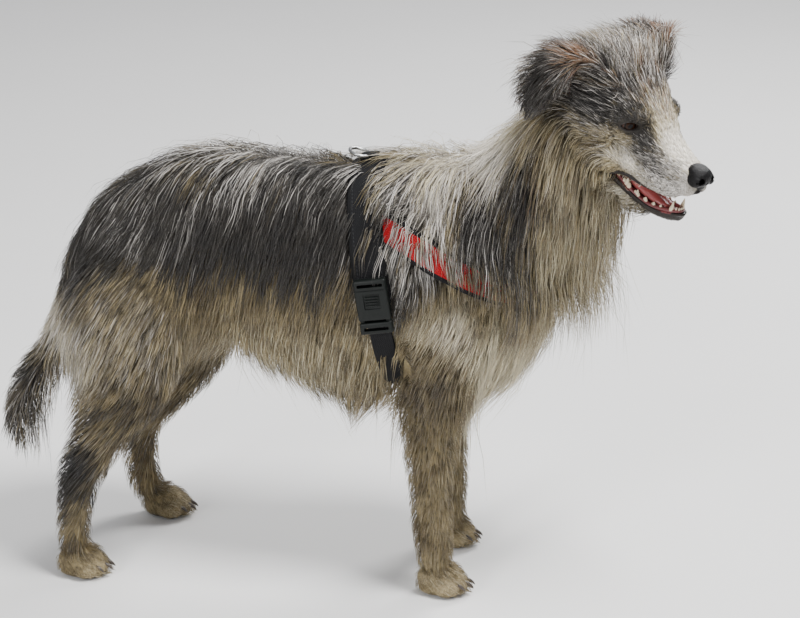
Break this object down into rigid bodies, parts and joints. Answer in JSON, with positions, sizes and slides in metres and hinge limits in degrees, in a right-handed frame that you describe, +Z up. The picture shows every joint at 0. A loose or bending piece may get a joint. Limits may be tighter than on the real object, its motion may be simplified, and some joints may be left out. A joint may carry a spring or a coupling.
{
  "type": "dog",
  "caption": "Still life-size shaggy herding dog standing square with its head turned and mouth open, in a webbing walking harness with side buckles and a lead ring.",
  "frame": {"origin": "middle of the box round the whole dog, at the level of its soles", "axes": "+X the way the body faces, +Y to the dog's left, +Z up"},
  "size_m": [0.7826, 0.245, 0.6222],
  "materials": {
    "coat": "long shaggy hair, charcoal and silver over the back, fawn and cream below",
    "nose": "moist dark nose leather",
    "eye": "dark brown iris behind a wet cornea",
    "tongue": "moist pink-red",
    "teeth": "ivory enamel in pink gum",
    "claw": "dark horn",
    "webbing_black": "black woven webbing",
    "webbing_red": "red woven webbing with black edges",
    "buckle": "dark moulded plastic",
    "ring": "plain steel wire"
  },
  "bodies": {
    "root": {"buckle_left": "buckle", "buckle_right": "buckle", "chest": "coat", "chest_strap": "webbing_red", "claw_fore_left_1": "claw", "claw_fore_left_2": "claw", "claw_fore_left_3": "claw", "claw_fore_left_4": "claw", "claw_fore_right_1": "claw", "claw_fore_right_2": "claw", "claw_fore_right_3": "claw", "claw_fore_right_4": "claw", "claw_hind_left_1": "claw", "claw_hind_left_2": "claw", "claw_hind_left_3": "claw", "claw_hind_left_4": "claw", "claw_hind_right_1": "claw", "claw_hind_right_2": "claw", "claw_hind_right_3": "claw", "claw_hind_right_4": "claw", "ear_left": "coat", "ear_right": "coat", "eye_left": "eye", "eye_right": "eye", "forefoot_left": "coat", "forefoot_right": "coat", "foreleg_lower_left": "coat", "foreleg_lower_right": "coat", "foreleg_upper_left": "coat", "foreleg_upper_right": "coat", "girth": "webbing_black", "head": "coat", "hindfoot_left": "coat", "hindfoot_right": "coat", "jaw": "coat", "loin": "coat", "lower_teeth": "teeth", "neck": "coat", "nose": "nose", "ring": "ring", "ring_keeper": "webbing_black", "shank_left": "coat", "shank_right": "coat", "tail": "coat", "thigh_left": "coat", "thigh_right": "coat", "tongue": "tongue", "upper_teeth": "teeth"}
  },
  "joints": []
}
